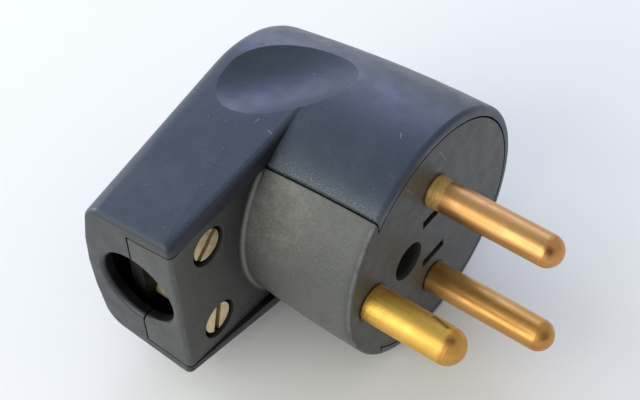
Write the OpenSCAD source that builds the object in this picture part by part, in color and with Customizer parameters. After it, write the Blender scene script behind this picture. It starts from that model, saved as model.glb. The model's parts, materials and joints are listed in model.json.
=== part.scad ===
// Right-angle three-pin plug with a screwed cover and a cord clamp in its side arm.
// +X runs out along the pins, -Y along the arm to the cable inlet, +Z is up.
// The origin is the middle of the pin face, half way between the two long pins.

/* [Body] */
// Diameter of the cover at the pin face
body_d = 39.4; // [38:0.1:44]
// Diameter of the cover where its back edge starts to round
back_d = 34.6; // [33:0.1:38]
// Length from the pin face to the crown of the back
body_len = 37.1; // [36:0.1:42]
// Height of the crown of the back
back_crown = 0.6; // [0.4:0.1:2]
// Rounding of the back edge
back_round = 3.2; // [2:0.1:6]
// Rounding of the cover's rim round the pin face
rim_round = 0.8; // [0.6:0.1:2]
// Rounding of the base's edge at the pin face
base_round = 0.4; // [0.2:0.1:0.8]
// Wall thickness of the cover
wall = 1.4; // [1.2:0.1:1.6]
// Thickness of the base's curved wall
base_wall = 1.1; // [0.9:0.1:1.2]

/* [Arm] */
// Reach of the arm from the body's axis to the cable end
arm_reach = 31.9; // [30:0.1:40]
// Depth of the arm's front plate below the pin face
arm_front = 19.5; // [18:0.1:20]
// Depth of the cover's front edges below the pin face, where the arm meets the body
arm_root = 18.4; // [17:0.1:19.4]
// Height of the arm's front edge at the cable end
arm_h_front = 29; // [27:0.1:32]
// Height of the arm's back at the cable end
arm_h_back = 26.4; // [25:0.1:29]
// Height of the crown of the arm's back at the cable end
arm_crown = 1.2; // [0.6:0.1:2]
// Rounding of the arm's back edges
arm_back_round = 4; // [2:0.1:5]
// Rounding of the arm's front edges at the cable end
arm_front_round = 1.3; // [0.4:0.1:2]
// Rounding of the arm's front edges at the body
root_round = 0.8; // [0.4:0.1:3]
// Rounding of the edge round the cable end
arm_end_round = 0.8; // [0.4:0.1:1.5]
// Thickness of the wall at the cable end
end_wall = 2; // [1.6:0.1:4]
// Diameter of the cable inlet
inlet_d = 12.6; // [9:0.1:13]
// Rounding of the cable inlet's edge
inlet_round = 0.8; // [0.2:0.1:1]
// Radius of the fillet where the base's wall meets the arm
root_fillet = 0.8; // [0.5:0.1:2]

/* [Seam] */
// Depth of the seam across the cable end, below the pin face
seam_depth = 27.6; // [26:0.1:28]
// Height between the two seams at the cable end, on the arm's front
seam_h_end = 24.4; // [23:0.1:26]
// Height between the two seams at the cable end, at the seam's depth
seam_h_deep = 22.8; // [22:0.1:24]
// Height between the two seams on the body's wall, at the pin face
seam_h_body = 29.8; // [27:0.1:31]
// Gap between base and cover along the seam
seam_gap = 0.27; // [0.05:0.01:0.35]
// Step of the base's wall inside the cover's surface
seam_step = 0.25; // [0:0.05:0.4]

/* [Thumb scoops] */
// Radius of the scoop across its length
scoop_r = 12.8; // [11:0.1:16]
// Radius of the ring along which the scoop's hollow is bent
scoop_ring = 26; // [22:0.5:40]
// Depth of the scoop's middle below the body's widest radius
scoop_depth = 3.75; // [3:0.05:4]
// Distance of the scoop's middle from the pin face
scoop_x = 25; // [24:0.1:26]
// Turn of the scoop's length away from the pin direction
scoop_turn = 55; // [45:1:70]
// Rise of the scoop's length away from the arm
scoop_tilt = 3.75; // [2:0.25:5]

/* [Pins] */
// Spacing of the two long pins
pin_pitch = 19; // [18:0.1:20]
// Diameter of a long pin
pin_d = 4.8; // [4:0.1:5]
// Length of a long pin beyond the pin face
pin_len = 20.4; // [16:0.1:22]
// Distance of the earth pin's axis from the body's skin at the end of its screw
earth_edge = 4.5; // [4.3:0.1:5]
// Diameter of the earth pin
earth_d = 5.5; // [4.5:0.1:5.6]
// Length of the earth pin beyond the pin face
earth_len = 15.1; // [12:0.1:20]
// Step of a pin's seat in the face plate beyond its shank
seat_step = 0.2; // [0.1:0.05:0.3]
// Clearance round a pin in its hole
pin_gap = 0.05; // [0.02:0.01:0.1]
// Thickness of the pin's flange
flange_t = 1.6; // [1:0.1:2]
// Diameter of the flange of a long pin
flange_d = 8.6; // [8:0.1:9]
// Diameter of the flange of the earth pin
earth_flange_d = 6.8; // [6.4:0.1:7]
// Diameter of a long pin's terminal pillar
pillar_d = 7; // [6:0.1:8]
// Length of a terminal pillar behind its flange
pillar_len = 10; // [9:0.1:11]
// Diameter of the wire hole across a pillar
wire_d = 2.8; // [2:0.1:3]
// Distance of the wire hole behind the flange
wire_back = 4; // [3:0.1:5]

/* [Face] */
// Thickness of the face plate
face_t = 3; // [2.4:0.1:3.4]
// Diameter of the hole for the assembly screw
access_d = 6.1; // [5.8:0.1:7]
// Distance of that hole from the earth pin's axis
access_to_earth = 8.6; // [8.2:0.1:9]
// Length of a slit in the face
slit_len = 5.2; // [4:0.1:6]
// Width of a slit
slit_w = 1.5; // [0.5:0.1:1.6]
// Spacing of the two slits
slit_pitch = 8.6; // [8:0.1:9]
// Width of a snap arm
snap_w = 5; // [4:0.1:6]
// Thickness of a snap arm and of the barrier
rib_t = 1; // [0.8:0.1:1.4]
// Reach of the barrier behind the face plate
barrier_len = 9; // [6:0.1:12]

/* [Screws] */
// Diameter of every screw's thread
screw_d = 3; // [2.5:0.1:3.2]
// Diameter of every screw's head
head_d = 5; // [4.6:0.1:5.7]
// Height of every screw's head
head_h = 2; // [1.6:0.1:2.4]
// Width of the slot in a head
slot_w = 1; // [0.6:0.1:1.2]
// Depth of the slot in a head
slot_t = 0.9; // [0.6:0.1:1.2]
// Clearance round a screw in a plain hole
screw_gap = 0.15; // [0.1:0.05:0.3]
// Clearance round a screw in a threaded hole
thread_gap = 0.03; // [0.01:0.01:0.06]
// Depth of the assembly screw's head seat below the pin face
seat_depth = 9; // [7:0.1:10]
// Length of the assembly screw below its head
assembly_len = 14; // [11:0.1:15]
// Depth where the base's pillar meets the cover's boss
joint_depth = 14; // [12.5:0.1:15]
// Diameter of the pillar and of the boss round the assembly screw
boss_d = 9; // [8.4:0.1:9.2]
// Diameter of the threaded insert
insert_d = 5; // [4.4:0.1:5.6]
// Length of the threaded insert
insert_len = 8; // [6:0.1:9]

/* [Cord clamp] */
// Distance of the clamp screws from the inside of the wall at the cable end
clamp_in = 5.1; // [3.8:0.1:5.6]
// Spacing of the two clamp screws
clamp_pitch = 16.4; // [16:0.1:17]
// Diameter of the counterbore for a clamp screw's head
counterbore_d = 6.3; // [6:0.1:6.6]
// Depth of a head's top below the arm's front
head_sink = 0.45; // [0.2:0.05:0.8]
// Thickness of the floor under a clamp screw's head
floor_t = 2; // [1.5:0.1:2.5]
// Thickness of the arm's front plate
plate_t = 2.4; // [2:0.1:3]
// Depth of the arm plate's side ribs behind the plate
side_rib = 3; // [2:0.1:4]
// Length of the clamp bar
bar_len = 21.4; // [20.6:0.1:21.6]
// Width of the clamp bar
bar_w = 6.6; // [6:0.1:7]
// Thickness of the clamp bar
bar_t = 2.4; // [2:0.1:3]
// Width across a square nut
nut_w = 5.2; // [5:0.1:5.6]
// Thickness of a square nut
nut_t = 2; // [1.8:0.1:2.4]
// Depth of a nut's pocket in the bar
pocket_t = 1.2; // [1:0.1:1.6]
// Room between the nuts and the cover's back wall
nut_room = 1.1; // [0.9:0.1:1.4]

/* [Hidden] */
$fn = 64;
eps = 0.01;
far = 60;
hull_fn = 72;
post_fn = 28;
body_r = body_d / 2;
mouth_r = body_r - wall;
back_x = -(body_len - back_crown);
arm_back_x = -(body_len - arm_crown);
seam_y = -sqrt(pow(body_r, 2) - pow(seam_h_body / 2, 2));
seam_root = sqrt(pow(skin_r(arm_root), 2) - pow(seam_y, 2));
// depth of the base's plate, never in front of the cover's edges
plate_front = max(arm_front, arm_root);
live_z = pin_pitch / 2;
flange_back = face_t + flange_t;
// reach of a snap arm's lip over the step from flange to pillar
lip_reach = 0.6 * (flange_d - pillar_d) / 2;
pillar_back = flange_back + pillar_len;
// distances of the earth pin and of the assembly screw from the line of the long pins
earth_offset = skin_r(pillar_back + head_h) - earth_edge;
access_offset = earth_offset - access_to_earth;
clamp_y = arm_reach - end_wall - clamp_in;
clamp_z = clamp_pitch / 2;
clamp_seat = plate_front + head_sink + head_h;
nut_back = -arm_back_x - wall - nut_room;
bar_back = nut_back - nut_t + pocket_t;
brass = [0.80, 0.62, 0.30];
copper = [0.76, 0.56, 0.36];
slate = [0.34, 0.37, 0.44];
grey = [0.36, 0.36, 0.35];

// points along an arc, from angle a to angle b
function arc(cx, cy, r, a, b, n = 5) =
    [for (i = [0:n]) let (t = a + (b - a) * i / n) [cx + r * cos(t), cy + r * sin(t)]];
// radius of the body at a depth behind the pin face: full at the rim, drawn in towards the back
function skin_r(depth) = body_r - (body_d - back_d) / 2 * pow(depth / (body_len - back_round), 2);

// turns a shape made along Z so that it runs along X
module along_x() {
    rotate([0, 90, 0]) children();
}

// prism with an outline in Y and Z between two places along X
module yz_prism(x0, x1, points) {
    translate([x0, 0, 0]) rotate([90, 0, 90]) linear_extrude(x1 - x0) polygon(points);
}

// cylinder along X between two depths behind the pin face
module rod(depth0, depth1, d, y = 0, z = 0) {
    translate([-depth1, y, z]) along_x() cylinder(d = d, h = depth1 - depth0);
}

// one post of the arm's end: a rounded foot on the cable end, standing along Y
module end_post(x, z, r, y, foot) {
    translate([x, y, z]) rotate([-90, 0, 0]) rotate_extrude($fn = post_fn)
        polygon(concat([[0, 0]], arc(r - foot, foot, foot, -90, 0, 3), [[r, foot + 0.5], [0, foot + 0.5]]));
}

// rear of the body with the arm drawn out of it, a whole skin or its inside when inset by w
module rear_form(w, end_w) {
    y_end = -arm_reach + end_w;
    br = back_round - w / 2;
    ar = arm_back_round - w / 2;
    fr = arm_front_round;
    xb = back_x + w;
    xa = arm_back_x + w + ar;
    crown = [for (t = [1:-0.25:0.2]) [(back_d / 2 - w - br) * t, xb - back_crown * (1 - t * t)]];
    rr = root_round;
    d0 = arm_root + w + rr;
    side = [for (i = [1:4]) let (d = d0 + (-xb - br - d0) * i / 4) [skin_r(d) - w - eps, -d]];
    h_back = arm_h_back / 2 - w - ar;
    hull() {
        along_x() rotate_extrude($fn = hull_fn)
            polygon(concat([[0, -arm_root - w]], arc(skin_r(d0) - w - eps - rr, -d0, rr, 90, 0), side,
                           arc(back_d / 2 - w - br, xb + br, br, 0, -90), crown, [[0, xb - back_crown]]));
        for (s = [-1, 1]) {
            end_post(-arm_front - w - fr, s * (arm_h_front / 2 - w - fr), fr, y_end,
                     min(arm_end_round, fr));
            end_post(xa, s * h_back, ar, y_end, arm_end_round);
            end_post(xa - arm_crown * 0.75, s * h_back / 2, ar, y_end, arm_end_round);
        }
        end_post(xa - arm_crown, 0, ar, y_end, arm_end_round);
    }
}

// ring behind the pin face that follows the body's skin, set in by step, t thick and rounded by r
module front_ring(step, t, r) {
    stop = max(arm_root + root_round, plate_front) + 0.5;
    outer = [for (i = [0:4]) let (d = r + (stop - r) * i / 4) [skin_r(d) - step, -d]];
    inner = [for (i = [4:-1:0]) let (d = face_t + (stop - face_t) * i / 4) [skin_r(d) - step - t, -d]];
    along_x() rotate_extrude()
        polygon(concat([[body_r - step - t - 1, 0]], arc(body_r - step - r, -r, r, 90, 0), outer, inner));
}

// room behind the pin face: straight round the face plate, then narrowing with the body
module front_room() {
    stop = arm_root + wall + root_round;
    inner = [for (i = [1:4]) let (d = face_t + (stop - face_t) * i / 4) [skin_r(d) - wall, -d]];
    along_x() rotate_extrude()
        polygon(concat([[0, 1], [mouth_r, 1], [mouth_r, -face_t]], inner, [[0, -stop]]));
}

// zone of the base's wall: the arm's side of the body, beyond the plane of the two seams
module wall_zone(depth, gap) {
    y = -body_r - root_fillet - 1;
    yz_prism(-depth, 1, [[y, -body_d], [seam_y + gap, -body_d], [seam_y + gap, body_d], [y, body_d]]);
}

// outline of the arm plate between the two seams, for a height at the cable end
function plate_outline(h, gap) =
    let (slope = (seam_root - seam_h_end / 2) / (arm_reach + seam_y))
    let (y_in = gap < 0 ? 0 : seam_y + gap)
    let (z_in = h / 2 + slope * (arm_reach + y_in) + gap)
    let (z_out = h / 2 - slope * 2 + gap)
    [[-arm_reach - 2, -z_out], [y_in, -z_in], [y_in, z_in], [-arm_reach - 2, z_out]];

// zone of the arm plate and its jaw, a little lower at the seam's depth than on the arm's front
module plate_zone(depth, gap) {
    hull() {
        yz_prism(-plate_front, -plate_front + eps, plate_outline(seam_h_end, gap));
        yz_prism(-depth, -depth + eps, plate_outline(seam_h_deep, gap));
    }
    yz_prism(-plate_front, -arm_root + 0.5, plate_outline(seam_h_end, gap));
}

// bore of the cable inlet through the end wall, with a rounded lip
module inlet() {
    r = inlet_d / 2 + inlet_round;
    translate([-seam_depth, -arm_reach, 0]) rotate([-90, 0, 0]) rotate_extrude()
        polygon(concat([[0, end_wall + 1], [0, -1], [r, -1]],
                       arc(r, inlet_round, inlet_round, -90, -180), [[inlet_d / 2, end_wall + 1]]));
}

// thumb scoop on one flank, s = 1 above and -1 below, made larger by w
module scoop(s, w) {
    mirror([0, 0, s < 0 ? 1 : 0]) translate([-scoop_x, 0, body_r - scoop_depth])
        rotate([0, 0, scoop_turn]) rotate([90, -scoop_tilt, 0]) translate([0, scoop_r + scoop_ring, 0])
            rotate_extrude() translate([scoop_ring, 0]) rotate(180) circle(scoop_r + w);
}

// room inside the cover, kept a wall's thickness away from the scoops
module cover_room() {
    difference() {
        union() {
            rear_form(wall, end_wall);
            front_room();
        }
        for (s = [-1, 1]) scoop(s, wall);
    }
}

module cover() {
    color(slate) difference() {
        union() {
            difference() {
                union() {
                    rear_form(0, 0);
                    difference() {
                        front_ring(0, wall + 1, rim_round);
                        wall_zone(far, seam_gap);
                    }
                }
                cover_room();
                for (s = [-1, 1]) scoop(s, 0);
                plate_zone(seam_depth, seam_gap);
                inlet();
            }
            rod(joint_depth, body_len - wall / 2, boss_d, -access_offset);
        }
        rod(joint_depth - 1, joint_depth + insert_len, insert_d, -access_offset);
        rod(joint_depth - 1, seat_depth + assembly_len + 1, screw_d + 2 * screw_gap, -access_offset);
    }
}

// hole for a pin through the face plate
module pin_hole(d, y, z) {
    rod(-1, face_t + 1, d + 2 * (seat_step + pin_gap), y, z);
}

// snap arm that holds down the flange of a long pin, on the flange's outer side
module snap_arm(s) {
    depth = flange_back + pin_gap + rib_t;
    z0 = live_z + flange_d / 2 + pin_gap;
    mirror([0, 0, s < 0 ? 1 : 0]) {
        translate([-depth, -snap_w / 2, z0]) cube([depth - face_t + eps, snap_w, rib_t]);
        translate([-depth, -snap_w / 2, z0 - pin_gap - lip_reach])
            cube([rib_t, snap_w, rib_t + pin_gap + lip_reach]);
    }
}

// barrier between the long pins: joined to the screw's pillar, clear of the cover's boss behind it
module barrier() {
    y0 = boss_d / 2 + seam_gap - access_offset;
    joined = min(face_t + barrier_len, joint_depth);
    translate([-face_t - barrier_len, y0, -rib_t / 2]) cube([barrier_len + eps, mouth_r - 2 - y0, rib_t]);
    translate([-joined, -access_offset, -rib_t / 2]) cube([joined - face_t + eps, boss_d / 2 + 1, rib_t]);
}

module base() {
    plate_back = plate_front + plate_t;
    foot_r = skin_r(plate_front) - seam_step;
    color(grey) difference() {
        union() {
            // face plate, with its rim a little inside the cover's mouth
            rod(0, face_t, 2 * (mouth_r - seam_gap));
            // wall above the arm, and the fillet at its foot
            intersection() {
                front_ring(seam_step, base_wall, base_round);
                wall_zone(plate_front + 1, 0);
            }
            intersection() {
                along_x() rotate_extrude() difference() {
                    translate([foot_r - 0.5, -plate_front - 0.5]) square(root_fillet + 0.5);
                    translate([foot_r + root_fillet, root_fillet - plate_front]) circle(root_fillet);
                }
                wall_zone(plate_front + 1, 0);
                yz_prism(-plate_front - 1, 1, plate_outline(seam_h_end, 0));
            }
            // arm's front plate with its side ribs and the jaw at the cable end
            intersection() {
                rear_form(0, 0);
                difference() {
                    plate_zone(seam_depth - seam_gap, 0);
                    translate([-plate_front, -far, -far]) cube(2 * far);
                    difference() {
                        intersection() {
                            plate_zone(seam_depth, -wall);
                            translate([-far, -far, -far]) cube([far - plate_back, 2 * far, 2 * far]);
                        }
                        translate([-far, -arm_reach - 1, -far]) cube([far, end_wall + 1, 2 * far]);
                    }
                    translate([-far, -arm_reach + end_wall, -far])
                        cube([far - plate_back - side_rib, far, 2 * far]);
                    rod(plate_front - 5, plate_front + far, 2 * (foot_r - base_wall));
                }
            }
            // bosses under the clamp screws, pillar of the assembly screw
            for (s = [-1, 1])
                rod(plate_front + 0.5, clamp_seat + floor_t, counterbore_d + 2, -clamp_y, s * clamp_z);
            rod(eps, joint_depth, boss_d, -access_offset);
            barrier();
            for (s = [-1, 1]) snap_arm(s);
        }
        for (s = [-1, 1]) {
            pin_hole(pin_d, 0, s * live_z);
            translate([-face_t - 1, -slit_len / 2, s * slit_pitch / 2 - slit_w / 2])
                cube([face_t + 2, slit_len, slit_w]);
            rod(arm_root - 2, clamp_seat, counterbore_d, -clamp_y, s * clamp_z);
            rod(arm_root, clamp_seat + floor_t + 1, screw_d + 2 * screw_gap, -clamp_y, s * clamp_z);
        }
        pin_hole(earth_d, -earth_offset, 0);
        rod(-1, seat_depth, access_d, -access_offset);
        rod(-1, joint_depth + 1, screw_d + 2 * screw_gap, -access_offset);
        inlet();
    }
}

// turned pin: domed tip, shank, flange, terminal pillar with a wire hole across it and a tapped end
module pin(d, len, fl_d, pl_d, y, z, wire_turn) {
    dome = d / 2;
    translate([0, y, z]) difference() {
        along_x() rotate_extrude()
            polygon(concat([[0, -pillar_back], [pl_d / 2, -pillar_back], [pl_d / 2, -flange_back],
                            [fl_d / 2, -flange_back], [fl_d / 2, -face_t], [d / 2 + seat_step, -face_t],
                            [d / 2 + seat_step, 0], [d / 2, 0]],
                           arc(0, len - dome, dome, 0, 90, 8)));
        translate([-flange_back - wire_back, 0, 0]) rotate([wire_turn, 0, 0])
            cylinder(d = wire_d, h = pl_d + 1, center = true);
        rod(flange_back + wire_back, pillar_back + 1, screw_d + 2 * thread_gap);
    }
}

module live_pin() {
    color(copper) pin(pin_d, pin_len, flange_d, pillar_d, 0, live_z, 90);
}

module neutral_pin() {
    color(copper) pin(pin_d, pin_len, flange_d, pillar_d, 0, -live_z, 90);
}

module earth_pin() {
    color(brass) pin(earth_d, earth_len, earth_flange_d, earth_d, -earth_offset, 0, 0);
}

// slotted cheese-head screw: head seat at a depth, thread running on backwards or forwards
module slotted_screw(seat, len, y, z, turn, facing) {
    translate([-seat, y, z]) mirror([facing < 0 ? 1 : 0, 0, 0]) difference() {
        union() {
            along_x() cylinder(d = head_d, h = head_h);
            translate([-len, 0, 0]) along_x() cylinder(d = screw_d, h = len + eps);
        }
        rotate([turn, 0, 0]) translate([head_h - slot_t, -head_d, -slot_w / 2])
            cube([slot_t + 1, 2 * head_d, slot_w]);
    }
}

// screw in the tail of a pin, its tip half way into the wire hole
module terminal_screw(y, z, turn) {
    color(brass) slotted_screw(pillar_back, pillar_len - wire_back, y, z, turn, -1);
}

module live_terminal_screw() {
    terminal_screw(0, live_z, 20);
}

module neutral_terminal_screw() {
    terminal_screw(0, -live_z, 65);
}

module earth_terminal_screw() {
    terminal_screw(-earth_offset, 0, 110);
}

module cord_clamp_bar() {
    color(grey) difference() {
        translate([-bar_back, -clamp_y - bar_w / 2, -bar_len / 2]) cube([bar_t, bar_w, bar_len]);
        for (s = [-1, 1]) {
            rod(bar_back - bar_t - 1, bar_back + 1, screw_d + 2 * screw_gap, -clamp_y, s * clamp_z);
            translate([-bar_back - 1, -clamp_y, s * clamp_z])
                nut_block(pocket_t + 1, nut_w + 2 * screw_gap);
        }
    }
}

// square block of a nut or of its pocket, from its back face forwards
module nut_block(t, w) {
    translate([0, -w / 2, -w / 2]) cube([t, w, w]);
}

module clamp_nut(s) {
    color(brass) difference() {
        translate([-nut_back, -clamp_y, s * clamp_z]) nut_block(nut_t, nut_w);
        rod(nut_back - nut_t - 1, nut_back + 1, screw_d + 2 * thread_gap, -clamp_y, s * clamp_z);
    }
}

module upper_clamp_nut() {
    clamp_nut(1);
}

module lower_clamp_nut() {
    clamp_nut(-1);
}

module clamp_screw(s, turn) {
    color(brass) slotted_screw(clamp_seat, nut_back - clamp_seat, -clamp_y, s * clamp_z, turn, 1);
}

module upper_clamp_screw() {
    clamp_screw(1, 40);
}

module lower_clamp_screw() {
    clamp_screw(-1, 75);
}

module assembly_screw() {
    color(brass) slotted_screw(seat_depth, assembly_len, -access_offset, 0, 30, 1);
}

module assembly_insert() {
    color(brass) difference() {
        rod(joint_depth, joint_depth + insert_len, insert_d, -access_offset);
        rod(joint_depth - 1, joint_depth + insert_len + 1, screw_d + 2 * thread_gap, -access_offset);
    }
}

cover();
base();
live_pin();
neutral_pin();
earth_pin();
live_terminal_screw();
neutral_terminal_screw();
earth_terminal_screw();
cord_clamp_bar();
upper_clamp_screw();
lower_clamp_screw();
upper_clamp_nut();
lower_clamp_nut();
assembly_screw();
assembly_insert();
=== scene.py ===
import json
import math
import bmesh
import bpy
from mathutils import Matrix, Vector


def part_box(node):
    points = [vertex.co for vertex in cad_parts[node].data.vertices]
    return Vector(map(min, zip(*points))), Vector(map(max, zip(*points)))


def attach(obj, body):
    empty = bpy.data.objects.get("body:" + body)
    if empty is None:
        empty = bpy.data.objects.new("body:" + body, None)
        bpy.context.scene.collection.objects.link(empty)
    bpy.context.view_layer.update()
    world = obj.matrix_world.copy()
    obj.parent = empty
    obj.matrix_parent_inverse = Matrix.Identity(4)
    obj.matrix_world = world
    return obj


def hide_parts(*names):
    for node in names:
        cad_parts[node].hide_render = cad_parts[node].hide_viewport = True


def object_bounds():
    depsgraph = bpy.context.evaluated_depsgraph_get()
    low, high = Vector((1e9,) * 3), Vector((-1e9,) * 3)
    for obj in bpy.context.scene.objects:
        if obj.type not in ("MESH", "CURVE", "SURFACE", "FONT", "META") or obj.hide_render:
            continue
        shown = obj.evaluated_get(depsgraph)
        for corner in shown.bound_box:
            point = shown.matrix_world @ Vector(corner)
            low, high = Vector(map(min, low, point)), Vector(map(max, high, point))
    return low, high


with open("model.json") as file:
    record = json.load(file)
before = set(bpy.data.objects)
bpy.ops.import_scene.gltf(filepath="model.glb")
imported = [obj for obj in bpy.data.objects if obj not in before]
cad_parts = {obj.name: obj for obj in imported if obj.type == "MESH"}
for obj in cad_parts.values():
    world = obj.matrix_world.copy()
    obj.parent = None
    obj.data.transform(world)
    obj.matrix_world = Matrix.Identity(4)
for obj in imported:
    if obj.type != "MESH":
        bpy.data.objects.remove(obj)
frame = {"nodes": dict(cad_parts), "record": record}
cad_lo, cad_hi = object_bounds()
nodes = frame["nodes"]
scene = bpy.context.scene
scene.view_settings.view_transform = "Standard"
scene.view_settings.look = "None"


def rgb(r, g, b):
    """Linear colour from display values of 0 to 255."""
    shares = [c / 255 for c in (r, g, b)]
    return tuple(s / 12.92 if s < 0.0404 else ((s + 0.055) / 1.055) ** 2.4 for s in shares) + (1.0,)


# Camera: the photograph's viewing angle and distance, in the part's frame
CAMERA_AT = Vector((0.076927, -0.114286, 0.169434))
CAMERA_AIM = Vector((-0.014886, -0.006619, 0.003596))
CAMERA_ROLL = math.radians(-3.8388)
LENS_MM = 86.9702
SENSOR_MM = 36.0

# Places in metres: x = 0 is the pin face, and the X axis runs through the middle of the body
ARM_END = cad_lo.y
INLET = (-0.0276, 0.0, 0.0)
screw_lo, screw_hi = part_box("assembly_screw")
ACCESS = (screw_lo + screw_hi) / 2
FLOOR_GAP = 0.0002
# Where the dome of each pin starts, from the lengths in the record
DOMES = {mount["name"]: mount["dims"]["length_mm"] / 1000
         for mount in frame["record"]["mounts"] if mount["kind"] == "pin"}

# Thumb scoops: the same values as the solids have
BODY_R = 0.0197
SCOOP_X = 0.025
SCOOP_DEPTH = 0.00375
SCOOP_TURN = math.radians(55)
SCOOP_TILT = math.radians(3.75)
SCOOP_R = 0.0128
SCOOP_RING = 0.026
TO_SCOOP = (Matrix.Translation((-SCOOP_X, 0.0, BODY_R - SCOOP_DEPTH))
            @ Matrix.Rotation(SCOOP_TURN, 4, "Z") @ Matrix.Rotation(-SCOOP_TILT, 4, "Y")).inverted()

# Shading of the moulded skins
WELD = 3e-6
SCOOP_SLACK = 6e-6
CREASE = math.radians(36)
SCOOP_CREASE = math.radians(4)

# Masks along an axis: where each starts and where it is full
BEHIND_SKIRT_X = (-0.0165, -0.0178)
ARM_UPPER_Z = (-0.002, 0.012)
ARM_LOWER_Z = (-0.004, -0.009)
INLET_MOUTH_Y = (ARM_END + 0.0002, ARM_END + 0.0010)
INLET_DEEP_Y = (-0.0120, -0.0130)
ACCESS_MOUTH_X = (-0.0002, -0.0012)
ACCESS_DEEP_X = (-0.0130, -0.0120)
BESIDE_SEAM_X = (-0.019, -0.017)
BESIDE_SEAM_Y = (-0.006, -0.016)
BESIDE_SEAM_Z = (0.0172, 0.0142)
WALL_FRONT_X = (-0.0005, -0.002)
WALL_BACK_X = (-0.0196, -0.0188)
WALL_CORNER_X = (-0.004, -0.016)
WALL_CORNER_Z = (-0.004, 0.011)
FILLET_X = (-0.0180, -0.0186)
FILLET_Y = (-0.0235, -0.0225)
RIM_BACK_X = (-0.0009, -0.0005)
RIM_FRONT_X = (-0.0001, -0.0003)
RIM_LOWER_Y = (-0.013, -0.0135)
TARNISH_X = (0.0045, 0.0005)
SHANK_X = (-0.0224, -0.0230)

# Masks that fade out: the last place of full strength and the first place without
INLET_R = (0.0066, 0.0070)
ACCESS_R = (0.0029, 0.0032)
PIT_R = (0.0002, 0.0005)
TIP_REFLECTION_R = (0.0002, 0.0011)
RUBBED_R = (0.00005, 0.0003)
COLLAR_X = (0.002, 0.0025)
ROOT_X = (0.00004, 0.0003)

# Lint, scratches and painted dark reflections on the pin tips, each between two places or at one
COVER_LINT = [((-0.00439, -0.00159, 0.01957), (-0.00396, -0.00231, 0.01951)),
              ((-0.02289, -0.00968, 0.01738), (-0.02272, -0.00901, 0.01749)),
              ((-0.02040, -0.00994, 0.01757), (-0.01949, -0.01022, 0.01759))]
COVER_SCRATCH = ((-0.0242, -0.0182, 0.0160), (-0.0225, -0.0181, 0.0162))
COVER_PIT = (-0.0353, ARM_END, -0.0009)
FACE_LINT = [((0.0, 0.00117, 0.01615), (0.0, 0.00268, 0.01318)),
             ((0.0, -0.00640, 0.01556), (0.0, -0.00503, 0.01345))]
JAW_CORNER = (-0.0197, ARM_END + 0.0003, 0.0)
LIVE_TIP_REFLECTION = (0.0190, -0.0013, 0.0112)
NEUTRAL_TIP_REFLECTION = (0.0195, -0.0008, -0.0078)
EARTH_TIP_REFLECTION = (0.0133, -0.0152, 0.0025)
EARTH_NICK = ((0.0093, -0.0131, 0.0023), (0.0117, -0.0137, 0.0026))

# Sizes of fine detail in metres, the specks as cell and dot
EDGE_R = 0.00018
LINT_WIDTH = 0.0001
NICK_WIDTH = 0.0005
TIP_FADE = 0.0005
COLLAR_RAG = 0.0002
SMALL_SPECKS = (0.0014, 0.00012)
LARGE_SPECKS = (0.0032, 0.00016)
PLASTIC_RELIEF = 0.00008
RING_RELIEF = 0.00004
SCREW_RELIEF = 0.0001

# Reach of the shade in corners, narrow gaps, wide hollows and screw slots
CORNER_REACH = 0.012
GAP_REACH = 0.003
HOLLOW_REACH = 0.02
SLOT_REACH = 0.0012

# Colours of painted shade, a painted highlight, dust and wear on the plastic
GRAIN = rgb(120, 121, 118)
PALE_EDGE = rgb(150, 151, 150)
SPECK = rgb(176, 178, 180)
CORNER_SHADE = rgb(7, 8, 10)
BORE_SHADE = rgb(4, 4, 6)
GAP_SHADE = rgb(5, 5, 6)
END_FACE_SHADE = rgb(40, 42, 38)
EDGE_SHADE = rgb(14, 16, 20)
UNDER_SHADE = rgb(16, 16, 14)
SEAM_FILM = rgb(90, 98, 103)
SEAM_DUST = rgb(154, 158, 162)
PALE_LINT = rgb(176, 178, 184)
DARK_SCRATCH = rgb(14, 15, 18)
DARK_PIT = rgb(16, 16, 18)
WALL_FILM = rgb(95, 96, 90)
WALL_PATCH = rgb(116, 116, 110)
WALL_CHALK = rgb(150, 150, 144)
WALL_SCRATCH = rgb(158, 157, 148)
WALL_PIT = rgb(34, 34, 33)
FILLET_HIGHLIGHT = rgb(122, 120, 116)
RUBBED_CORNER = rgb(140, 140, 136)
RIM_LINE = rgb(164, 164, 160)
GREY_LINT = rgb(170, 170, 168)

# Colours of the metals, with a painted dark reflection and painted shade
COPPER = rgb(150, 96, 50)
OLIVE = rgb(130, 100, 24)
COLLAR_DARK = rgb(206, 160, 86)
COLLAR_LIGHT = rgb(244, 208, 134)
TARNISH = rgb(84, 58, 18)
TIP_DARK_REFLECTION = rgb(104, 58, 30)
ROOT_SHADE = rgb(30, 22, 12)

# Floor and light: name, place, diameter, watts and colour of each softbox
FLOOR_SIZE = 6.0
FLOOR_LIGHT = (0.92, 0.90, 0.87, 1)
FLOOR_DARK = (0.90, 0.88, 0.85, 1)
LIGHT_AIM = Vector((-0.01, -0.005, 0.0))
LIGHTS = [("back_box", (-0.49, 0.58, 0.48), 0.7, 2.8, (0.44, 0.54, 1.0)),
          ("low_back_box", (-0.6, 0.70, 0.22), 0.6, 1.1, (0.80, 0.78, 1.0)),
          ("left_box", (-0.85, -0.1, 0.3), 0.5, 3.9, (0.86, 0.95, 1.0)),
          ("front_box", (-0.25, -0.8, 0.36), 0.9, 5.0, (1.0, 0.98, 0.91))]
SKY = (0.93, 0.99, 1.0, 1.0)
SKY_STRENGTH = 0.60


def scoop_wall(point):
    """True for a point on the bent hollow of a thumb scoop."""
    local = TO_SCOOP @ Vector((point.x, point.y, abs(point.z)))
    off_ring = math.hypot(local.x, local.z - SCOOP_R - SCOOP_RING) - SCOOP_RING
    return abs(math.hypot(off_ring, local.y) - SCOOP_R) < SCOOP_SLACK


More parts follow.
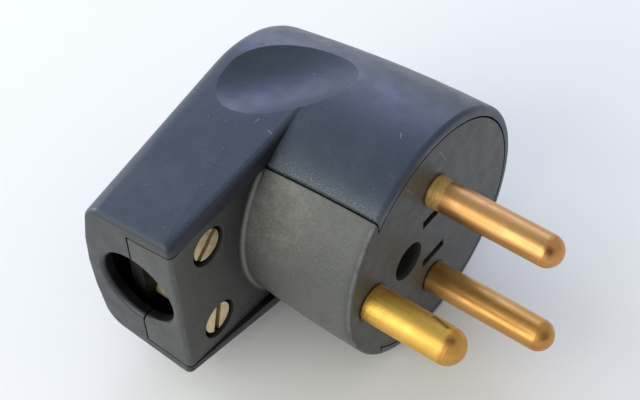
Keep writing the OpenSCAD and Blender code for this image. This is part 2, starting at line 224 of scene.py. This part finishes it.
def creased(edge, scoop):
    """True for an open edge, a sharp one, and the rim of a scoop."""
    if len(edge.link_faces) != 2:
        return True
    angle = edge.calc_face_angle(0)
    first, second = edge.link_faces
    return angle > CREASE or ((first in scoop) != (second in scoop) and angle > SCOOP_CREASE)


def smooth_skin(name, look):
    """Skin of a moulded shell: same form, joined vertices, shading creased by angle."""
    shell = nodes[name]
    bm = bmesh.new()
    bm.from_mesh(shell.data)
    bmesh.ops.remove_doubles(bm, verts=bm.verts, dist=WELD)
    scoop = {face for face in bm.faces if all(scoop_wall(vert.co) for vert in face.verts)}
    for face in bm.faces:
        face.smooth = True
    for edge in bm.edges:
        edge.smooth = not creased(edge, scoop)
    mesh = bpy.data.meshes.new(name + "_skin")
    bm.to_mesh(mesh)
    bm.free()
    mesh.materials.append(look)
    obj = bpy.data.objects.new(name + "_skin", mesh)
    obj.matrix_world = shell.matrix_world
    scene.collection.objects.link(obj)
    even = obj.modifiers.new("even", "WEIGHTED_NORMAL")
    even.mode = "FACE_AREA_WITH_ANGLE"
    even.keep_sharp = True
    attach(obj, "root")
    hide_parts(name)


class Material:
    """A material's nodes, written as expressions."""

    def __init__(self, name):
        self.look = bpy.data.materials.new(name)
        self.look.use_nodes = True
        self.tree = self.look.node_tree
        self.shader = self.tree.nodes["Principled BSDF"]
        self.place = self.tree.nodes.new("ShaderNodeTexCoord").outputs["Object"]

    def node(self, kind, **sockets):
        node = self.tree.nodes.new(kind)
        self.fill(node, sockets)
        return node

    def fill(self, node, sockets):
        for key, value in sockets.items():
            self.put(node.inputs[key.replace("_", " ")], value)

    def put(self, socket, value):
        if isinstance(value, bpy.types.NodeSocket):
            self.tree.links.new(value, socket)
        else:
            socket.default_value = value

    def set(self, **sockets):
        self.fill(self.shader, sockets)

    def noise(self, scale, detail=2.0, rough=0.5, where=None):
        node = self.node("ShaderNodeTexNoise", Scale=scale, Detail=detail, Roughness=rough)
        self.put(node.inputs["Vector"], where or self.place)
        return node.outputs["Fac"]

    def ramp(self, value, start, end, low=0.0, high=1.0):
        """Smooth change from low to high while a value goes from start to end."""
        node = self.node("ShaderNodeMapRange", Value=value, From_Min=start, From_Max=end,
                         To_Min=low, To_Max=high)
        node.clamp = True
        node.interpolation_type = "SMOOTHSTEP"
        return node.outputs["Result"]

    def math(self, operation, a, b=0.0):
        node = self.tree.nodes.new("ShaderNodeMath")
        node.operation = operation
        self.put(node.inputs[0], a)
        self.put(node.inputs[1], b)
        return node.outputs[0]

    def times(self, first, *rest):
        for part in rest:
            first = self.math("MULTIPLY", first, part)
        return first

    def strongest(self, first, *rest):
        for part in rest:
            first = self.math("MAXIMUM", first, part)
        return first

    def mix(self, share, a, b):
        """Colour a, turning into colour b by a share of 0 to 1."""
        node = self.tree.nodes.new("ShaderNodeMix")
        node.data_type = "RGBA"
        self.put(node.inputs[0], share)
        self.put(node.inputs[6], a)
        self.put(node.inputs[7], b)
        return node.outputs[2]

    def stretched(self, x, y, z):
        return self.node("ShaderNodeMapping", Scale=(x, y, z), Vector=self.place).outputs["Vector"]

    def along(self, axis):
        return self.node("ShaderNodeSeparateXYZ", Vector=self.place).outputs[axis]

    def past(self, axis, start, full):
        """0 before a place along an axis, 1 from another place on."""
        return self.ramp(self.along(axis), start, full)

    def turned(self, axis, start, full):
        """0 to 1 as the surface turns to face along an axis."""
        normal = self.tree.nodes.new("ShaderNodeTexCoord").outputs["Normal"]
        return self.ramp(self.node("ShaderNodeSeparateXYZ", Vector=normal).outputs[axis], start, full)

    def vector(self, operation, a, b):
        node = self.tree.nodes.new("ShaderNodeVectorMath")
        node.operation = operation
        self.put(node.inputs[0], a)
        self.put(node.inputs["Scale" if operation == "SCALE" else 1], b)
        return node.outputs["Value" if operation in ("DISTANCE", "DOT_PRODUCT") else "Vector"]

    def spot(self, centre, inner, outer, stretch=(1, 1, 1)):
        """1 near a place on the part, 0 further away."""
        middle = tuple(c * k for c, k in zip(centre, stretch))
        return self.ramp(self.vector("DISTANCE", self.stretched(*stretch), middle), inner, outer, 1.0, 0.0)

    def hair(self, start, end, width=LINT_WIDTH):
        """1 along a thin straight line between two places on the part."""
        run = Vector(end) - Vector(start)
        away = self.vector("SUBTRACT", self.place, start)
        share = self.math("MULTIPLY", self.vector("DOT_PRODUCT", away, run), 1 / run.length_squared)
        share.node.use_clamp = True
        gap = self.vector("DISTANCE", away, self.vector("SCALE", run, share))
        return self.ramp(gap, 0.3 * width, width, 1.0, 0.0)

    def specks(self, cell, size, share):
        """Small round dots, one in some of the cells."""
        node = self.node("ShaderNodeTexVoronoi", Scale=1.0 / cell, Vector=self.place)
        dot = self.ramp(node.outputs["Distance"], size / cell * 0.5, size / cell, 1.0, 0.0)
        split = self.node("ShaderNodeSeparateColor", Color=node.outputs["Color"])
        return self.times(dot, self.ramp(split.outputs[0], 1 - share, 1 - share * 0.6))

    def soft_edges(self, radius):
        """Normal rounded over the edges, and a mask of the edges."""
        node = self.node("ShaderNodeBevel", Radius=radius)
        node.samples = 4
        flat = self.tree.nodes.new("ShaderNodeNewGeometry").outputs["Normal"]
        agree = self.vector("DOT_PRODUCT", node.outputs[0], flat)
        return node.outputs[0], self.ramp(agree, 0.80, 0.99, 1.0, 0.0)

    def open_sky(self, distance):
        """1 in the open, 0 deep in holes and gaps."""
        node = self.node("ShaderNodeAmbientOcclusion", Distance=distance)
        node.samples = 6
        return node.outputs["AO"]

    def bump(self, height, strength, distance, normal=None):
        node = self.node("ShaderNodeBump", Strength=strength, Distance=distance, Height=height)
        if normal:
            self.put(node.inputs["Normal"], normal)
        self.set(Normal=node.outputs["Normal"])


def arm_corner(m):
    """Shade on the arm's front, deepest in its upper corner beside the body."""
    closed = m.ramp(m.open_sky(CORNER_REACH), 0.5, 0.95, 1.0, 0.0)
    upper = m.ramp(m.along("Z"), *ARM_UPPER_Z, 0.45, 1.0)
    return m.times(closed, m.turned("X", 0.7, 0.95), m.past("X", *BEHIND_SKIRT_X), upper)


def bores(m):
    """Mask of the painted shade: 1 inside the cable inlet and inside the screwdriver hole."""
    inlet = m.times(m.spot(INLET, *INLET_R, stretch=(1, 0, 1)), m.past("Y", *INLET_MOUTH_Y),
                    m.past("Y", *INLET_DEEP_Y))
    access = m.times(m.spot(ACCESS, *ACCESS_R, stretch=(0, 1, 1)), m.past("X", *ACCESS_MOUTH_X),
                     m.past("X", *ACCESS_DEEP_X))
    return m.strongest(inlet, access)


def plastic(name, dark, light, rough, grain, dust, marks=None):
    """Moulded plastic: clouded and grained, with pale edges and specks, and painted shade in bores and
    gaps.
    """
    m = Material(name)
    normal, edge = m.soft_edges(EDGE_R)
    fine = m.noise(2600, 2.0, 0.6)
    colour = m.mix(m.ramp(m.noise(90, 3.0), 0.35, 0.65), dark, light)
    colour = m.mix(m.ramp(fine, 0.35, 0.75, 0.0, grain), colour, GRAIN)
    colour = m.mix(m.times(edge, m.ramp(m.noise(700, 3.0), 0.35, 0.7, 0.05, 0.4)), colour, PALE_EDGE)
    specks = m.strongest(m.specks(*SMALL_SPECKS, 0.2 * dust), m.specks(*LARGE_SPECKS, 0.3 * dust))
    colour = m.mix(m.times(specks, 0.3), colour, SPECK)
    if marks:
        colour = marks(m, colour)
    colour = m.mix(m.times(arm_corner(m), 0.95), colour, CORNER_SHADE)
    colour = m.mix(bores(m), colour, BORE_SHADE)
    gaps = m.ramp(m.open_sky(GAP_REACH), 0.15, 0.7)
    hollows = m.ramp(m.open_sky(HOLLOW_REACH), 0.06, 0.3)
    m.set(Base_Color=m.mix(m.math("MINIMUM", gaps, hollows), GAP_SHADE, colour))
    m.set(Roughness=m.ramp(m.noise(400, 3.0), 0.3, 0.7, rough - 0.05, rough + 0.06))
    m.bump(fine, 0.12, PLASTIC_RELIEF, normal)
    return m.look


def cover_marks(m, colour):
    """Painted shade on the cable end face and on the arm's front edges, dust beside the seam, lint, a
    scratch and a pit.
    """
    # Painted shade: faces turned to the cable end lose the blue tint and turn warmer and darker.
    colour = m.mix(m.times(m.turned("Y", -0.7, -0.95), 0.8), colour, END_FACE_SHADE)
    # Painted shade on the arm's front edges, deeper on those below the middle.
    front_edge_shade = m.times(m.turned("X", 0.3, 0.75), m.past("X", *BEHIND_SKIRT_X))
    colour = m.mix(m.times(front_edge_shade, 0.6), colour, EDGE_SHADE)
    colour = m.mix(m.times(front_edge_shade, m.past("Z", *ARM_LOWER_Z), 0.9), colour, UNDER_SHADE)
    beside = m.times(m.past("Z", *BESIDE_SEAM_Z), m.past("Y", *BESIDE_SEAM_Y), m.past("X", *BESIDE_SEAM_X))
    colour = m.mix(m.times(beside, 0.45), colour, SEAM_FILM)
    colour = m.mix(m.times(beside, m.ramp(m.noise(5200, 2.0, 0.8), 0.5, 0.66), 0.6), colour, SEAM_DUST)
    lint = m.strongest(*[m.hair(*ends) for ends in COVER_LINT])
    colour = m.mix(m.times(lint, 0.28), colour, PALE_LINT)
    colour = m.mix(m.times(m.hair(*COVER_SCRATCH), 0.7), colour, DARK_SCRATCH)
    return m.mix(m.spot(COVER_PIT, *PIT_R), colour, DARK_PIT)


def wall_marks(m, colour):
    """Chalk, scratches and pits on the wall above the arm, strongest in its upper corner, and a painted
    highlight along its rounded foot.
    """
    wall = m.times(m.past("X", *WALL_FRONT_X), m.past("X", *WALL_BACK_X))
    corner = m.times(m.past("Z", *WALL_CORNER_Z), m.past("X", *WALL_CORNER_X))
    patch = m.ramp(m.noise(420, 5.0, 0.7), 0.42, 0.62)
    chalk = m.ramp(m.noise(5200, 3.0, 0.8), 0.48, 0.68)
    along = m.noise(1.0, 2.0, 0.6, m.stretched(1600, 8000, 8000))
    across = m.noise(1.0, 2.0, 0.6, m.stretched(8000, 8000, 1600))
    scratches = m.ramp(m.strongest(along, across), 0.60, 0.70)
    colour = m.mix(m.times(wall, m.ramp(corner, 0.0, 1.0, 0.4, 0.82)), colour, WALL_FILM)
    for mask, least, most, tint in ((patch, 0.05, 0.6, WALL_PATCH), (chalk, 0.14, 0.4, WALL_CHALK),
                                    (scratches, 0.1, 0.45, WALL_SCRATCH)):
        colour = m.mix(m.times(wall, mask, m.ramp(corner, 0.0, 1.0, least, most)), colour, tint)
    # Painted highlight along the rounded foot of the wall.
    fillet_highlight = m.times(m.turned("X", 0.03, 0.2), m.turned("X", 0.97, 0.8), m.past("X", *FILLET_X),
                     m.past("Y", *FILLET_Y))
    colour = m.mix(m.times(fillet_highlight, 0.6), colour, FILLET_HIGHLIGHT)
    pits = m.ramp(m.noise(4300, 2.0, 0.7), 0.36, 0.28)
    return m.mix(m.times(wall, pits, 0.35), colour, WALL_PIT)


def base_marks(m, colour):
    """Wear on the wall, a rubbed corner at the cable end, a pale rim and lint on the face."""
    colour = wall_marks(m, colour)
    rubbed = m.times(m.spot(JAW_CORNER, *RUBBED_R, stretch=(1, 1, 0)), m.ramp(m.noise(400, 3.0), 0.3, 0.6))
    colour = m.mix(m.times(rubbed, 0.1), colour, RUBBED_CORNER)
    rim = m.times(m.past("X", *RIM_BACK_X), m.past("X", *RIM_FRONT_X), m.past("Y", *RIM_LOWER_Y),
                  m.ramp(m.noise(700, 3.0), 0.35, 0.6))
    colour = m.mix(m.times(rim, 0.16), colour, RIM_LINE)
    lint = m.strongest(*[m.hair(*ends) for ends in FACE_LINT])
    return m.mix(m.times(lint, 0.3), colour, GREY_LINT)


def worn_collar(m, colour, rough):
    """Scuffed brass at a pin's root: its colour, roughness and metal."""
    ragged = m.math("ADD", m.along("X"), m.ramp(m.noise(900), 0.2, 0.8, -COLLAR_RAG, COLLAR_RAG))
    worn = m.ramp(ragged, *COLLAR_X, 1.0, 0.0)
    scuff = m.noise(1.0, 3.0, 0.7, m.stretched(6500, 900, 900))
    brass = m.mix(m.ramp(scuff, 0.35, 0.6), COLLAR_DARK, COLLAR_LIGHT)
    colour = m.mix(m.times(worn, 0.8), colour, brass)
    rough = m.strongest(rough, m.ramp(worn, 0.0, 1.0, 0.0, 0.46))
    return colour, rough, m.ramp(worn, 0.0, 1.0, 1.0, 0.7)


def nicked(m, colour, nick):
    """A dark streak near the tip and tarnish at the root."""
    streak = m.times(m.hair(*nick, NICK_WIDTH), m.ramp(m.noise(900, 2.0), 0.3, 0.7, 0.8, 1.0))
    root = m.times(m.past("X", *TARNISH_X), m.ramp(m.noise(3000, 3.0, 0.7), 0.5, 0.62))
    return m.mix(m.strongest(m.times(streak, 0.7), m.times(root, 0.4)), colour, TARNISH)


def turned_brass(name, dark, mid, light, tip, gloss, dome, tip_reflection, streak=0.3, metal=1.0, collar=False,
                 nick=None):
    """Turned pin: rings round it, streaks along it, a browner tip with a painted dark reflection, painted
    shade at the root.
    """
    m = Material(name)
    rings = m.noise(1.0, 3.0, 0.7, m.stretched(5200, 120, 120))
    streaks = m.noise(1.0, 2.0, 0.5, m.stretched(70, 2400, 2400))
    colour = m.mix(m.ramp(m.noise(160, 3.0, 0.5), 0.3, 0.7), mid, light)
    colour = m.mix(m.ramp(rings, 0.45, 0.75, 0.0, 0.14), colour, dark)
    colour = m.mix(m.ramp(streaks, 0.52, 0.68, 0.0, streak), colour, dark)
    colour = m.mix(m.ramp(m.noise(520, 4.0, 0.65), 0.6, 0.74, 0.0, 0.12), colour, dark)
    colour = m.mix(m.ramp(m.along("X"), dome, dome + TIP_FADE, 0.0, 0.55), colour, tip)
    rough = m.ramp(m.noise(500, 3.0), 0.3, 0.7, gloss - 0.04, gloss + 0.05)
    if collar:
        colour, rough, metal = worn_collar(m, colour, rough)
    if nick:
        colour = nicked(m, colour, nick)
    spread = m.ramp(m.noise(1100, 2.0), 0.3, 0.7, 0.5, 1.0)
    # Painted dark reflection: a brown spot on the tip's dome.
    colour = m.mix(m.times(m.spot(tip_reflection, *TIP_REFLECTION_R), spread, 0.8), colour, TIP_DARK_REFLECTION)
    colour = m.mix(m.ramp(m.along("X"), *ROOT_X, 0.85, 0.0), colour, ROOT_SHADE)
    m.set(Base_Color=colour, Metallic=metal, Roughness=rough)
    m.bump(rings, 0.06, RING_RELIEF)
    return m.look


def screw_metal(name, mid, light, slot):
    """Plain screw: clouded metal, dirt and painted shade in the slot, dull along the shank."""
    m = Material(name)
    cloud = m.noise(900, 3.0)
    shank = m.past("X", *SHANK_X)
    # Dirt and painted shade in the slot, where it is closed in, but not on the shank.
    sky = m.strongest(m.ramp(m.open_sky(SLOT_REACH), 0.35, 0.8), shank)
    metal = m.math("MINIMUM", m.ramp(sky, 0.0, 1.0, 0.3, 1.0), m.ramp(shank, 0.0, 1.0, 1.0, 0.25))
    m.set(Base_Color=m.mix(sky, slot, m.mix(m.ramp(cloud, 0.35, 0.65), mid, light)))
    m.set(Metallic=metal, Roughness=m.ramp(m.noise(1500), 0.3, 0.7, 0.3, 0.5))
    m.bump(cloud, 0.15, SCREW_RELIEF)
    return m.look


def aimed(place, target):
    """Placement of a lamp or camera that looks at a target."""
    return Matrix.Translation(place) @ (target - place).to_track_quat("-Z", "Y").to_matrix().to_4x4()


def softbox(name, place, size, power, colour):
    """Round area light, aimed at the part."""
    data = bpy.data.lights.new(name, "AREA")
    data.shape = "DISK"
    data.size = size
    data.energy = power
    data.color = colour
    obj = bpy.data.objects.new(name, data)
    obj.matrix_world = aimed(Vector(place), LIGHT_AIM)
    scene.collection.objects.link(obj)


# Materials of the pieces
# The cover's dark grey is its own colour; its blue tint is painted light, the bluish light on its upper
# faces.
cover_look = plastic("cover_plastic_look", dark=rgb(39, 50, 66), light=rgb(45, 56, 72), rough=0.40,
                     grain=0.06, dust=1.0, marks=cover_marks)
base_look = plastic("base_plastic_look", dark=rgb(55, 57, 56), light=rgb(64, 65, 63), rough=0.46,
                    grain=0.16, dust=0.8, marks=base_marks)
bar_look = plastic("bar_plastic_look", dark=rgb(9, 9, 10), light=rgb(13, 13, 14), rough=0.6,
                   grain=0.0, dust=0.0)
live_look = turned_brass("live_pin_look", dark=COPPER, mid=rgb(204, 154, 96), light=rgb(214, 166, 110),
                         tip=rgb(196, 136, 78), gloss=0.37, dome=DOMES["live_pin"], tip_reflection=LIVE_TIP_REFLECTION,
                         collar=True)
neutral_look = turned_brass("neutral_pin_look", dark=COPPER, mid=rgb(208, 158, 90),
                            light=rgb(216, 168, 104), tip=rgb(186, 130, 68), gloss=0.36,
                            dome=DOMES["neutral_pin"], tip_reflection=NEUTRAL_TIP_REFLECTION)
earth_look = turned_brass("earth_pin_look", dark=OLIVE, mid=rgb(214, 168, 76), light=rgb(224, 182, 92),
                          tip=rgb(186, 124, 72), gloss=0.46, dome=DOMES["earth_pin"], tip_reflection=EARTH_TIP_REFLECTION,
                          streak=0.15, metal=0.92, nick=EARTH_NICK)
screw_look = screw_metal("screw_look", mid=rgb(250, 222, 174), light=rgb(255, 240, 210),
                         slot=rgb(120, 104, 48))
# Painted shade: the assembly screw deep in its hole gets a darkened copy of the screw colours.
screw_in_shade_look = screw_metal("screw_painted_shade_look", mid=rgb(40, 34, 24), light=rgb(52, 44, 32), slot=rgb(14, 12, 8))

looks = {"cover": cover_look, "base": base_look, "cord_clamp_bar": bar_look, "live_pin": live_look,
         "neutral_pin": neutral_look, "earth_pin": earth_look, "assembly_screw": screw_in_shade_look}
for name, obj in nodes.items():
    obj.data.materials.clear()
    obj.data.materials.append(looks.get(name, screw_look))
smooth_skin("cover", cover_look)
smooth_skin("base", base_look)

# Camera
cam_data = bpy.data.cameras.new("camera")
cam_data.sensor_fit = "HORIZONTAL"
cam_data.sensor_width = SENSOR_MM
cam_data.lens = LENS_MM
cam_data.clip_start = 0.01
cam_data.clip_end = 20.0
cam = bpy.data.objects.new("camera", cam_data)
cam.matrix_world = aimed(CAMERA_AT, CAMERA_AIM) @ Matrix.Rotation(CAMERA_ROLL, 4, "Z")
scene.collection.objects.link(cam)
scene.camera = cam

# Floor
bpy.ops.mesh.primitive_plane_add(size=FLOOR_SIZE, location=(0, 0, cad_lo.z - FLOOR_GAP))
floor = bpy.context.object
floor.name = "floor"
floor_white = Material("floor_white")
floor_white.set(Roughness=0.9, Base_Color=floor_white.mix(floor_white.noise(3.0), FLOOR_LIGHT, FLOOR_DARK))
floor.data.materials.append(floor_white.look)

# Studio light
for light in LIGHTS:
    softbox(*light)
world = bpy.data.worlds.new("studio")
world.use_nodes = True
background = world.node_tree.nodes["Background"]
background.inputs["Color"].default_value = SKY
background.inputs["Strength"].default_value = SKY_STRENGTH
scene.world = world
